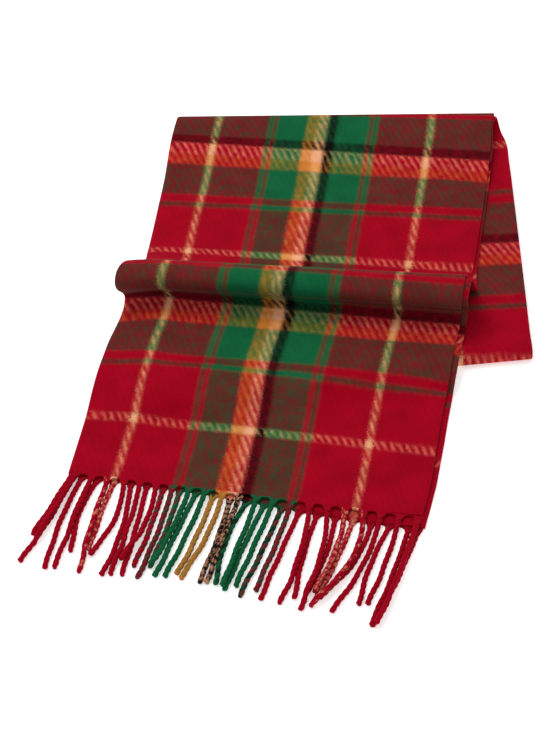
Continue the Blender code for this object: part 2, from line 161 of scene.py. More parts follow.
UNDER_RUN = [
    Row(UNDER, left, SECOND_PAIR, inward, right, SECOND_PAIR, UNDER_INWARD)
    for left, inward, right in (
        (0.3100, -0.0040, 0.3100),
        (0.2600, 0.0000, 0.2600),
        (0.1600, 0.0000, 0.1700),
        (0.0600, 0.0000, 0.0850),
        (-0.0160, 0.0000, 0.0300),
    )
]
Turn = namedtuple("Turn", "panel along height radius inward spread")
BACK_TURN_LEFT = Turn(BACK, 0.2150, 0.0152, 0.0058, 0.0000, 0.0000)
BACK_TURN_RIGHT = Turn(BACK, 0.2450, 0.0184, 0.0090, 0.0040, 0.0060)
FRONT_TURN_RADIUS = 0.0039
FRONT_TURN_END = 0.016
TURN_STEPS = 8
HIDDEN_BACK_LEFT = 0.345
HIDDEN_BACK_RIGHT = 0.340


def smooth(amount):
    """Ease from 0 to 1 as amount goes from 0 to 1."""
    amount = np.clip(amount, 0.0, 1.0)
    return amount * amount * (3.0 - 2.0 * amount)


def blend(first, second, share):
    return first + (second - first) * share


def slip_at(share):
    """How far the lower layer's hem lies in front of the upper one's, across the width."""
    return HEM_SLIP * smooth((share - SLIP_FROM) / SLIP_OVER)


def turn_rows(left, right):
    """Rows round a half turn, from its top over its far side to its bottom."""
    rows = []
    for step in range(TURN_STEPS + 1):
        angle = math.pi / 2 - math.pi * step / TURN_STEPS
        ends = []
        for side in (left, right):
            sign = 1.0 if side.panel.drapes else -1.0
            along = side.along + sign * side.radius * math.cos(angle)
            height = side.height + side.radius * math.sin(angle)
            support = STACK if side.panel.drapes else 0.0
            inward = side.inward + side.spread * step / TURN_STEPS
            ends.append((along, height - support - LYING, inward))
        rows.append(Row(left.panel, *ends[0], *ends[1]))
    return rows


EDGE_LIFT_REACH = 0.065     # the panel is lifted over the table along its fold, this far in
CREST_SAG = 0.13            # share by which the wave's crest sags beside its left end
CREST_SAG_START = 0.035     # from the fold edge to the full sag
CREST_SAG_FADE = 0.75       # and how much of it is gone at the selvedge
turn_height = LYING + FRONT_TURN_RADIUS
turn_back = FRONT_TURN_RADIUS + PAIR / 2    # from the stack's front to the turn's middle
front_left, front_right = (
    Turn(UNDER, front + turn_back, turn_height, FRONT_TURN_RADIUS, inward, 0.0)
    for front, inward in ((STACK_FRONT_LEFT, 0.0), (STACK_FRONT_RIGHT, UNDER_INWARD))
)
tail = Row(
    UNDER, front_left.along + FRONT_TURN_END, 0.0, 0.0,
    front_right.along + FRONT_TURN_END, 0.0, UNDER_INWARD,
)
hidden_end = Row(UNDER, HIDDEN_BACK_LEFT, 0.0, 0.0, HIDDEN_BACK_RIGHT, 0.0, UNDER_INWARD)

rows = HEM_TO_WAVE + WAVE
trough_row = len(rows)
rows += [TROUGH, *TROUGH_TO_TURN]
last_draped_row = len(rows) - 1
rows += turn_rows(BACK_TURN_LEFT, BACK_TURN_RIGHT)
below_turn_row = len(rows)
rows += [BELOW_TURN, *UNDER_RUN, *turn_rows(front_left, front_right)]
tail_row = len(rows)
rows += [tail, hidden_end]
print("sections:", len(rows))

# %% [markdown]
# A loft straight through these 54 sections would look faceted, so a smooth curve is drawn
# through them at every place across the cloth. Its slope at a section is weighted by how far
# the neighbours are, which keeps the tight turns round. The draped part is then lifted
# wherever it would dip into the layers below, because real cloth is held up by what it lies
# on.

# %% A fine surface through the sections
COLUMN_COUNT = 74
FIRST_COLUMN = 0.003
ROW_STEP = 0.0040
columns = np.linspace(FIRST_COLUMN, FOLDED_WIDTH, COLUMN_COUNT)
shares = columns / FOLDED_WIDTH


def plan(panel, across, along):
    """Table position of a place on a panel."""
    cosine, sine = math.cos(panel.turn), math.sin(panel.turn)
    return panel.x + across * cosine + along * sine, panel.y - across * sine + along * cosine


def resting_height(x, y):
    """Height of what the top pair lies on: the table, the stack or the slope between."""
    share = (x - UNDER.x) / (FOLDED_WIDTH + SELVEDGE_STEP)
    behind_front = y - blend(STACK_FRONT_LEFT, STACK_FRONT_RIGHT, share)
    climb = smooth((behind_front + RAMP_LEAD + FRONT_RAMP) / FRONT_RAMP)
    side = smooth((x - UNDER.x + RAMP_LEAD + SIDE_RAMP) / SIDE_RAMP)
    crown = STACK_CROWN * np.exp(-((behind_front - PAIR) / CROWN_REACH) ** 2)
    return (STACK + crown) * climb * side


def section_line(row):
    """Middle of the pair along one section, from the fold edge to the selvedge."""
    along = blend(row.left_along, row.right_along, shares)
    inward = blend(row.left_inward, row.right_inward, shares)
    if row in HEM_TO_WAVE:
        rise = row.left_rise * (1.0 - smooth(columns / EDGE_LIFT_REACH))
    else:
        rise = blend(row.left_rise, row.right_rise, shares)
    if row in WAVE:
        sag = smooth(columns / CREST_SAG_START) * (1.0 - CREST_SAG_FADE * shares)
        rise = rise * (1.0 - CREST_SAG * sag)
    x, y = plan(row.panel, columns + inward, along)
    support = resting_height(x, y) if row.panel.drapes else 0.0
    return np.stack([x, y, support + LYING + rise], axis=-1)


def loft(lines, step_length):
    """Smooth sections through the given ones, and where each given one ends up."""
    lines = np.array(lines)
    gaps = np.linalg.norm(np.diff(lines, axis=0), axis=2).mean(axis=1)
    slopes = np.diff(lines, axis=0) / gaps[:, None, None]
    tangents = np.empty_like(lines)
    tangents[0], tangents[-1] = slopes[0], slopes[-1]
    before, after = gaps[:-1, None, None], gaps[1:, None, None]
    tangents[1:-1] = (slopes[:-1] * after + slopes[1:] * before) / (before + after)
    path, places = [], []
    for index, gap in enumerate(gaps):
        places.append(len(path))
        steps = max(1, math.ceil(gap / step_length))
        for t in np.arange(steps) / steps:
            path.append(
                (2 * t**3 - 3 * t**2 + 1) * lines[index]
                + (t**3 - 2 * t**2 + t) * gap * tangents[index]
                + (3 * t**2 - 2 * t**3) * lines[index + 1]
                + (t**3 - t**2) * gap * tangents[index + 1]
            )
    places.append(len(path))
    path.append(lines[-1])
    return np.array(path), places


middle, places = loft([section_line(row) for row in rows], ROW_STEP)
trough_at, turn_at, below_turn_at, tail_at = (
    places[row] for row in (trough_row, last_draped_row, below_turn_row, tail_row)
)
draped = middle[: turn_at + 1]
draped[..., 2] = np.maximum(
    draped[..., 2], resting_height(draped[..., 0], draped[..., 1]) + LYING
)
runs = np.zeros(middle.shape[:2])
runs[1:] = np.cumsum(np.linalg.norm(np.diff(middle, axis=0), axis=2), axis=0)
print("path:", middle.shape, "length", round(float(runs[-1].mean()), 3), "m")

# %% [markdown]
# Thick wool never lies dead flat. Soft ridges run where the cloth was pulled, out of the
# wave's feet and towards the turns, and each is a line on the cloth with its own width and
# height. They are placed one by one, because even spacing would look machine made.

# %% Soft creases, placed one by one
# Each crease is a line on the cloth: "across" is measured from the fold edge and "run" along
# the cloth from its hem. Heights are above the cloth's own surface.
Crease = namedtuple("Crease", "across_a run_a across_b run_b width height")
CREASES = (
    Crease(0.060, 0.060, 0.092, 0.150, 0.017, 0.0007),
    Crease(0.120, 0.030, 0.128, 0.088, 0.014, 0.0006),
    Crease(0.172, 0.118, 0.206, 0.196, 0.017, 0.0009),
    Crease(0.232, 0.018, 0.240, 0.074, 0.012, 0.0006),
    Crease(0.284, 0.092, 0.302, 0.184, 0.015, 0.0010),
    Crease(0.040, 0.400, 0.098, 0.470, 0.015, 0.0011),
    Crease(0.135, 0.455, 0.150, 0.560, 0.019, 0.0008),
    Crease(0.215, 0.400, 0.196, 0.462, 0.014, 0.0009),
    Crease(0.268, 0.480, 0.290, 0.590, 0.016, 0.0010),
    Crease(0.070, 0.560, 0.060, 0.620, 0.012, 0.0007),
    Crease(0.300, 0.405, 0.262, 0.450, 0.012, 0.0010),
)
CREASE_END = 0.35           # a crease's height at its ends, as a share of its full height
CREASE_TIP = 0.08           # it tapers no further within this share of its length from an end
EDGE_RIPPLES = ((0.047, 0.0007), (0.031, 0.0005))   # wavelengths and heights at the selvedge
RIPPLE_REACH = 0.022
RIPPLE_PHASE = 40           # radians for each metre of wavelength, so that they start apart
FADE_STEPS = 8              # steps of the path over which all this fades before the back turn


def crease_height(across, run):
    height = np.zeros_like(run)
    for crease in CREASES:
        start = np.array([crease.across_a, crease.run_a])
        line = np.array([crease.across_b, crease.run_b]) - start
        offset = np.stack([across - start[0], run - start[1]], axis=-1)
        share = np.clip(offset @ line / (line @ line), 0.0, 1.0)
        distance = np.linalg.norm(offset - share[..., None] * line, axis=-1)
        body = np.sin(np.pi * np.clip(share, CREASE_TIP, 1.0 - CREASE_TIP))
        taper = blend(CREASE_END, 1.0, body)
        height += crease.height * taper * np.exp(-((distance / crease.width) ** 2))
    near_selvedge = np.exp(-((FOLDED_WIDTH - across) / RIPPLE_REACH) ** 2)
    for wavelength, size in EDGE_RIPPLES:
        phase = RIPPLE_PHASE * wavelength
        ripple = 0.5 + 0.5 * np.sin(2 * math.pi * run / wavelength + phase)
        height += size * ripple * near_selvedge
    return height


lift = crease_height(np.broadcast_to(columns, runs.shape), runs)
lift[turn_at:] = 0.0
lift[:turn_at] *= smooth(np.arange(turn_at)[::-1] / FADE_STEPS)[:, None]


def unit(vectors):
    """The same directions, each with a length of one."""
    return vectors / np.linalg.norm(vectors, axis=2, keepdims=True)


def pair_normals(points):
    """Unit normals of the pair's middle, towards its outer layer."""
    return unit(np.cross(np.gradient(points, axis=1), np.gradient(points, axis=0)))


middle = middle + lift[..., None] * pair_normals(middle)
normals = pair_normals(middle)
print("highest crease:", round(float(lift.max()) * 1000, 2), "mm")

# %% [markdown]
# A woven pattern has its own ruler: how far a thread lies from the fold, and how far along
# the cloth. The tartan repeats every 33 cm and turns about on itself where a weaver reverses
# the order of the colours. The ruler is stored as a UV map in real metres, so the checks
# bend with the cloth over the wave and round the turns.

# %% The weave's own ruler
REPEAT = 0.330
front_cream_at = places[2]  # the third section lies on the first cream line
SHEAR = 0.11                # the pattern of the under stretch is askew by this slope
SHEAR_X = 0.242             # and keeps its place here
UNDER_CREAM_Y = 0.006       # where its own cream line lies there


def woven_distance():
    """How far along the cloth each point lies, in metres of weave from the front cream line."""
    distance = runs - runs[front_cream_at]
    back = slice(trough_at, turn_at)
    # The back panel's cream line lies where "along" is zero on that panel.
    back_along = (
        (middle[back, :, 0] - BACK.x) * math.sin(BACK.turn)
        + (middle[back, :, 1] - BACK.y) * math.cos(BACK.turn)
    )
    for column in range(COLUMN_COUNT):
        cream_run = np.interp(0.0, back_along[:, column], distance[back, column])
        inside = (distance[:, column] > 0) & (distance[:, column] < cream_run)
        beyond = distance[:, column] >= cream_run
        distance[inside, column] *= REPEAT / cream_run
        distance[beyond, column] += REPEAT - cream_run
    front_turn_at = places[below_turn_row + len(UNDER_RUN)]
    under = middle[below_turn_at:front_turn_at]
    laid = 3 * REPEAT + UNDER_CREAM_Y + SHEAR * (under[..., 0] - SHEAR_X) - under[..., 1]
    whole_turn = runs[below_turn_at] - runs[turn_at]
    share = (runs[turn_at:below_turn_at] - runs[turn_at]) / whole_turn
    distance[turn_at:below_turn_at] = blend(distance[turn_at], laid[0], share)
    distance[below_turn_at:front_turn_at] = laid
    distance[front_turn_at:] = (
        distance[front_turn_at - 1] + runs[front_turn_at:] - runs[front_turn_at - 1]
    )
    return distance


# Nor do the stripes stay straight. Each row says, at some distance along the weave, by how
# many millimetres the pattern is pulled at the fold, in the middle and at the selvedge.
Pull = namedtuple("Pull", "along fold middle selvedge")
PULLS_ALONG = (
    Pull(-0.080, 0.0, 0.0, 0.0), Pull(0.000, 1.5, -0.5, 2.0), Pull(0.075, 2.0, 1.5, -4.0),
    Pull(0.090, 1.5, 1.0, -2.5), Pull(0.140, 0.0, -2.0, 0.0), Pull(0.174, -1.0, 0.0, 1.5),
    Pull(0.240, -3.0, -1.5, 6.5), Pull(0.330, 6.0, 1.5, -1.0), Pull(0.405, 0.5, -2.5, -5.5),
    Pull(0.420, -0.5, -2.0, -6.0), Pull(0.470, -3.5, -2.0, -3.0),
    Pull(0.504, -3.5, -1.0, 0.5), Pull(0.520, 0.5, 0.0, 0.5), Pull(0.570, -2.0, -4.0, -7.0),
    Pull(0.660, 0.0, 0.0, 3.0), Pull(0.741, 0.0, 0.0, 0.0), Pull(0.755, 0.0, 0.0, -4.5),
    Pull(0.800, 0.0, 0.0, -6.0), Pull(0.850, 0.0, 0.0, -6.0), Pull(0.900, 0.0, 0.0, -2.5),
    Pull(0.914, 0.0, 0.0, -5.0), Pull(0.990, 0.0, 0.0, -4.0),
)
PULLS_ACROSS = (
    Pull(-0.080, -0.5, -0.5, -1.5), Pull(-0.020, -2.5, -0.5, -1.5),
    Pull(0.020, -5.5, -0.5, -2.0), Pull(0.090, -4.0, 0.0, -2.0),
    Pull(0.150, -4.0, 0.0, -3.5), Pull(0.185, -2.0, 0.5, -4.5),
    Pull(0.230, -1.5, -1.0, -2.5), Pull(0.300, 2.0, 0.5, 1.0), Pull(0.380, 1.5, 0.5, 1.0),
    Pull(0.450, -1.0, -0.3, 1.0), Pull(0.505, -2.5, -1.0, 0.0), Pull(0.560, -3.0, -2.8, -2.3),
    Pull(0.620, 0.0, 0.0, 0.0),
)
FOLD_HOLDS = 0.020          # the pulls fade out this close to the fold


def pulled(weave):
    """The weave's ruler with its stripes pulled a little askew."""
    across, along = weave[..., 0], weave[..., 1]
    share = np.minimum(np.abs(across) / FOLDED_WIDTH, 1.0)
    shifts = []
    for pulls in (PULLS_ACROSS, PULLS_ALONG):
        fold, centre, selvedge = (
            np.interp(along, [pull.along for pull in pulls], [pull[side] for pull in pulls])
            for side in (1, 2, 3)
        )
        shift = np.where(
            share < 0.5, blend(fold, centre, 2 * share), blend(centre, selvedge, 2 * share - 1)
        )
        shifts.append(shift / 1000)
    shifts[0] = shifts[0] * np.sign(across) * smooth(np.abs(across) / FOLD_HOLDS)
    return weave + np.stack(shifts, axis=-1)


weave_along = woven_distance()
print("weave from", weave_along.min().round(4), "to", weave_along.max().round(4))

# %% [markdown]
# Now the cloth itself. In section the folded pair is a long hairpin: the outer layer, a round
# fold at the left and the inner layer back to the selvedge, which shows six millimetres past
# the outer one. A grid primitive is laid over those points. Solidify gives it the cloth's
# thickness, and a small bevel on the hem and selvedges softens the cut edges.

# %% The hairpin section
FOLD_STEPS = 8
half_space = (LAYER + LAYER_GAP) / 2
# The two selvedges don't stay parallel. Each row says how far, at some distance from the
# hem, the outer and the inner one stray from their usual place.
EdgeShift = namedtuple("EdgeShift", "run outer inner")
EDGE_SHIFTS = (
    EdgeShift(0.000, -0.0035, -0.0050),
    EdgeShift(0.045, -0.0010, -0.0020),
    EdgeShift(0.100, 0.0000, 0.0000),
    EdgeShift(0.360, 0.0000, 0.0000),
    EdgeShift(0.430, 0.0030, 0.0000),
    EdgeShift(0.650, 0.0045, 0.0000),
    EdgeShift(0.690, 0.0010, 0.0015),
    EdgeShift(0.760, 0.0000, 0.0025),
    EdgeShift(1.100, 0.0000, 0.0025),
)
SHIFT_WIDTH = 0.120         # the cloth beside a selvedge gives way over this width


def hairpin(first, last):
    """Points and weave coordinates of one stretch, a row for each section."""
    line, up = middle[first:last], normals[first:last]
    along = weave_along[first:last]
    outward = unit(line[:, :1] - line[:, 1:2])
    selvedge = unit((line[:, -1:] - line[:, -2:-1]) * [1.0, 1.0, 0.0])
    give = smooth((columns - FOLDED_WIDTH + SHIFT_WIDTH) / SHIFT_WIDTH)[None, :, None]
    outer_shift, inner_shift = (
        np.interp(runs[first:last, -1], [s.run for s in EDGE_SHIFTS], shifts)[:, None, None]
        for shifts in ([s.outer for s in EDGE_SHIFTS], [s.inner for s in EDGE_SHIFTS])
    )
    outer = line + half_space * up + outer_shift * give * selvedge
    inner = line - half_space * up + inner_shift * give * selvedge
    steps = np.array([0.5, 1.0])[None, :, None] * SELVEDGE_STEP
    inner = np.concatenate([inner, inner[:, -1:] + steps * selvedge], axis=1)
    inner_along = np.concatenate([along, along[:, -1:], along[:, -1:]], axis=1)
    inner_shares = np.append(shares, [1.0, 1.0])
    slipped = smooth((SLIP_ENDS - runs[first:last, -1:]) / SLIP_FADE)
    inner_along = inner_along + slip_at(inner_shares) * slipped
    if first == 0:
        travel = unit(np.gradient(inner, axis=0))
        reach = np.append(runs[:last], np.repeat(runs[:last, -1:], 2, axis=1), axis=1)
        slip = slip_at(inner_shares) * np.clip(1.0 - reach / SLIP_REACH, 0.0, 1.0)
        inner = inner - slip[..., None] * travel
        inner_along = inner_along - slip
    angles = math.pi * np.arange(1, FOLD_STEPS) / FOLD_STEPS
    arc = line[:, :1] + half_space * (
        np.cos(angles)[None, :, None] * up[:, :1] + np.sin(angles)[None, :, None] * outward
    )
    arc_across = np.broadcast_to(FIRST_COLUMN * np.cos(angles), arc.shape[:2])
    arc_along = np.broadcast_to(along[:, :1], arc.shape[:2])
    inner_across = -np.append(columns, FOLDED_WIDTH + steps.ravel())
    inner_across = np.broadcast_to(inner_across, inner_along.shape)
    points, all_across, all_along = (
        np.concatenate(parts, axis=1)
        for parts in (
            (outer[:, ::-1], arc, inner),
            (np.broadcast_to(columns[::-1], along.shape), arc_across, inner_across),
            (along[:, ::-1], arc_along, inner_along),
        )
    )
    return points, pulled(np.stack([all_across, all_along], axis=-1))


def to_frame(points):
    """Layout positions moved to the frame, whose origin is under the middle of the scarf."""
    return points - np.array([*LAYOUT_CENTRE, 0.0])


# %% Helpers that make and finish a grid
EDGE_SOFTNESS = 0.0008


def select_only(*pieces):
    """Deselect everything, then select these pieces and make the first one active."""
    bpy.ops.object.select_all(action="DESELECT")
    for piece in pieces:
        piece.select_set(True)
    bpy.context.view_layer.objects.active = pieces[0] if pieces else None


def apply_modifiers(piece):
    select_only(piece)
    for modifier in list(piece.modifiers):
        bpy.ops.object.modifier_apply(modifier=modifier.name)


def add_grid(name, points):
    """A grid primitive laid over rows of points."""
    rows, columns = points.shape[:2]
    select_only()
    bpy.ops.mesh.primitive_grid_add(
        x_subdivisions=columns - 1, y_subdivisions=rows - 1, size=1
    )
    piece = bpy.context.object
    piece.name = name
    piece.data.name = name
    piece.data.vertices.foreach_set("co", to_frame(points).ravel().astype(np.float32))
    return piece


def give_thickness(piece, thickness):
    """Half of the thickness goes to each side."""
    solidify = piece.modifiers.new("Cloth thickness", "SOLIDIFY")
    solidify.thickness = thickness
    solidify.offset = 0.0
    return solidify


def soft_bevel(piece):
    """A small bevel for cut edges, with its limit still to be set."""
    bevel = piece.modifiers.new("Soft cut edges", "BEVEL")
    bevel.width = EDGE_SOFTNESS
    bevel.segments = 2
    return bevel


def smooth_faces(piece):
    """Shade the selected piece smoothly, and print its size."""
    bpy.ops.object.shade_smooth_by_angle(angle=math.radians(60))
    print(piece.name, "triangles:", sum(len(face.vertices) - 2 for face in piece.data.polygons))


# %% Lay the cloth over the hairpin
def soften_cut_edges(piece, grid_rows, grid_columns, hem):
    """A weighted bevel on the selvedges, and on the hem where there is one."""
    mesh = piece.data
    count = grid_rows * grid_columns
    keys = np.empty(len(mesh.edges) * 2, dtype=np.int64)
    mesh.edges.foreach_get("vertices", keys)
    keys = keys.reshape(-1, 2) % count
    row, column = keys // grid_columns, keys % grid_columns
    weights = np.zeros(len(mesh.edges))
    for side in (0, grid_columns - 1):
        weights[(column == side).all(axis=1) & (row[:, 0] != row[:, 1])] = 1.0
    for end in hem:
        weights[(row == end).all(axis=1) & (column[:, 0] != column[:, 1])] = 1.0
    attribute = mesh.attributes.new("bevel_weight_edge", "FLOAT", "EDGE")
    attribute.data.foreach_set("value", weights.astype(np.float32))
    soft_bevel(piece).limit_method = "WEIGHT"
    apply_modifiers(piece)


def lay_cloth(name, first, last, hem=()):
    """One stretch of the folded cloth, from one section to another."""
    points, weave = hairpin(first, last + 1)
    cloth = add_grid(name, points)
    corners = np.empty(len(cloth.data.loops), dtype=np.int64)
    cloth.data.loops.foreach_get("vertex_index", corners)
    layer = cloth.data.uv_layers.active
    layer.name = "weave"
    layer.data.foreach_set("uv", weave.reshape(-1, 2)[corners].ravel().astype(np.float32))
    give_thickness(cloth, LAYER).use_even_offset = True
    apply_modifiers(cloth)
    soften_cut_edges(cloth, *points.shape[:2], hem)
    places = np.empty(len(cloth.data.vertices) * 3)
    cloth.data.vertices.foreach_get("co", places)
    places[2::3] = np.maximum(places[2::3], SETTLE)     # the table stops it
    cloth.data.vertices.foreach_set("co", places)
    smooth_faces(cloth)
    return cloth


end_at = len(middle) - 1
front_cloth = lay_cloth("scarf_front_cloth", 0, trough_at)
back_cloth = lay_cloth("scarf_back_cloth", trough_at, below_turn_at)
under_cloth = lay_cloth("scarf_under_cloth", below_turn_at, tail_at)
hidden_cloth = lay_cloth("scarf_hidden_cloth", tail_at, end_at, hem=(end_at - tail_at,))

# %% [markdown]
# The tartan is the order in which the coloured yarns are set, the same idea along the warp
# and across the weft. Each stripe is written as where it ends and its yarn. Where two yarns
# cross, both show, so a red warp under a green weft reads brown and never a third dye.

# %% Yarns and the order of their stripes
YARN_HEX = {
    "red": "9A021B", "green": "105A36", "gold": "CA7830", "cream": "E6A47C", "black": "0C0A0A",
}
Stripe = namedtuple("Stripe", "ends_cm yarn")
WARP = (
    Stripe(3.99, "red"), Stripe(4.54, "cream"), Stripe(9.60, "red"), Stripe(10.08, "green"),
    Stripe(10.45, "red"), Stripe(13.57, "green"), Stripe(14.70, "gold"),
    Stripe(15.70, "cream"), Stripe(16.76, "black"), Stripe(20.06, "green"),
    Stripe(20.42, "red"), Stripe(20.94, "green"), Stripe(25.97, "red"),
    Stripe(26.51, "cream"), Stripe(34.00, "red"),
)
WEFT = (
    Stripe(-0.45, "red"), Stripe(0.50, "cream"), Stripe(7.15, "red"), Stripe(7.90, "green"),
    Stripe(9.05, "red"), Stripe(14.00, "green"), Stripe(15.65, "gold"),
    Stripe(17.35, "cream"), Stripe(18.90, "black"), Stripe(23.80, "green"),
    Stripe(24.80, "red"), Stripe(25.55, "green"), Stripe(32.50, "red"),
    Stripe(33.50, "cream"),
)
WARP_SPAN = (0.0, 0.34)     # metres of weave that the colour ramps cover
WEFT_SPAN = (-0.10, 0.34)
STRIPE_BLUR = 0.0034        # nap carries one colour this far into the next


def linear(hex_colour):
    """An sRGB hex colour as the linear values that shaders use."""
    values = [int(hex_colour[start:start + 2], 16) / 255 for start in (0, 2, 4)]
    return tuple(
        value / 12.92 if value <= 0.04045 else ((value + 0.055) / 1.055) ** 2.4
        for value in values
    )


def set_inputs(node, inputs):
    """Fill inputs, in order or by name, with plain values or with links.

    A link comes from a socket, or from a node, which then gives its first output in use.
    """
    for name, value in inputs.items() if isinstance(inputs, dict) else enumerate(inputs):
        if isinstance(value, bpy.types.Node):
            value = next(socket for socket in value.outputs if socket.enabled)
        if isinstance(value, bpy.types.NodeSocket):
            node.id_data.links.new(value, node.inputs[name])
        else:
            node.inputs[name].default_value = value


def add_node(tree, kind, inputs=(), **settings):
    """Add a node with its settings, input values and links."""
    node = tree.nodes.new("ShaderNode" + kind)
    for name, value in settings.items():
        setattr(node, name, value)
    set_inputs(node, inputs)
    return node


def new_material(name):
    """A new material with its node tree and its shader."""
    material = bpy.data.materials.new(name)
    material.use_nodes = True
    return material, material.node_tree, material.node_tree.nodes["Principled BSDF"]


def set_stripes(ramp, stripes, span):
    """Write the stripes into a colour ramp, with a soft step between two yarns."""
    low, high = span
    stops = [(0.0, stripes[0].yarn)]
    for stripe, following in zip(stripes, stripes[1:]):
        edge = stripe.ends_cm / 100
        stops.append(((edge - STRIPE_BLUR / 2 - low) / (high - low), stripe.yarn))
        stops.append(((edge + STRIPE_BLUR / 2 - low) / (high - low), following.yarn))
    while len(ramp.elements) < len(stops):
        ramp.elements.new(1.0)
    for element, (position, yarn) in zip(ramp.elements, stops):
        element.position = position
        element.color = (*linear(YARN_HEX[yarn]), 1.0)


# %% [markdown]
# Brushed wool twill: the diagonal wales of a coarse twill, blurred by a raised nap. The nap
# scatters light, so the wool is dull face on and bright where it turns away, which is what
# the sheen socket gives. The wales are about 7 mm apart. The nap is a noise of 1 mm, because
# real fibres of 0.03 mm can't show at this distance. A mottle of about 6 by 10 mm is where
# brushing has raised more of one yarn than of the other.

# %% Brushed wool twill with the tartan
WALE_SPACING = 0.0066
WALE_ANGLE = math.radians(65)
WALE_SHAKE = 3.6            # radians by which the mottle shifts the wales
WALE_CONTRAST = 0.45        # how clearly two yarns of unlike lightness show on the wales
WALE_BLUR = 0.010           # and what the nap takes from that
# Painted shade: the colour is made darker in the grooves between the wales.
WALE_GROOVE_PAINTED_SHADE = 0.025          # how much darker the grooves between the wales are
WALE_RELIEF = 0.22          # the wales' height beside the nap's
NAP_SIZE = 0.0011
NAP_REACH = 0.0100          # times a noise of about 0.1: it carries a colour a millimetre
MOTTLE_ACROSS, MOTTLE_ALONG = 0.0060, 0.0100
PATCH_SIZE = 0.024          # the nap is brushed unevenly in patches about this large
GAMMA = 2.2
MIX_WARMTH = (0.96, 0.96, 0.58, 1.0)
WEFT_SHOWS = (0.32, 0.62)   # the weft's share of the surface, from least to most
WEFT_COVERED = 0.36         # what a lighter weft loses of it under the warp
NAP_SHADES = (0.90, 1.10)
PATCH_SHADES = (0.90, 1.09)
NOISE_CORE = (0.30, 0.70)   # most of a noise lies in here
NOISE_RANGE = (0.25, 0.75)  # and nearly all of it here
FIBRE_HEIGHT = 0.0004
WOOL_SURFACE = {
    "Roughness": 0.95, "Specular IOR Level": 0.04, "Sheen Roughness": 0.30,
    "Sheen Tint": (*linear("FFD8D0"), 1.0),
}


def scale_of(size):
    """A noise scale for a feature of this size, in metres."""
    return 1.0 / size


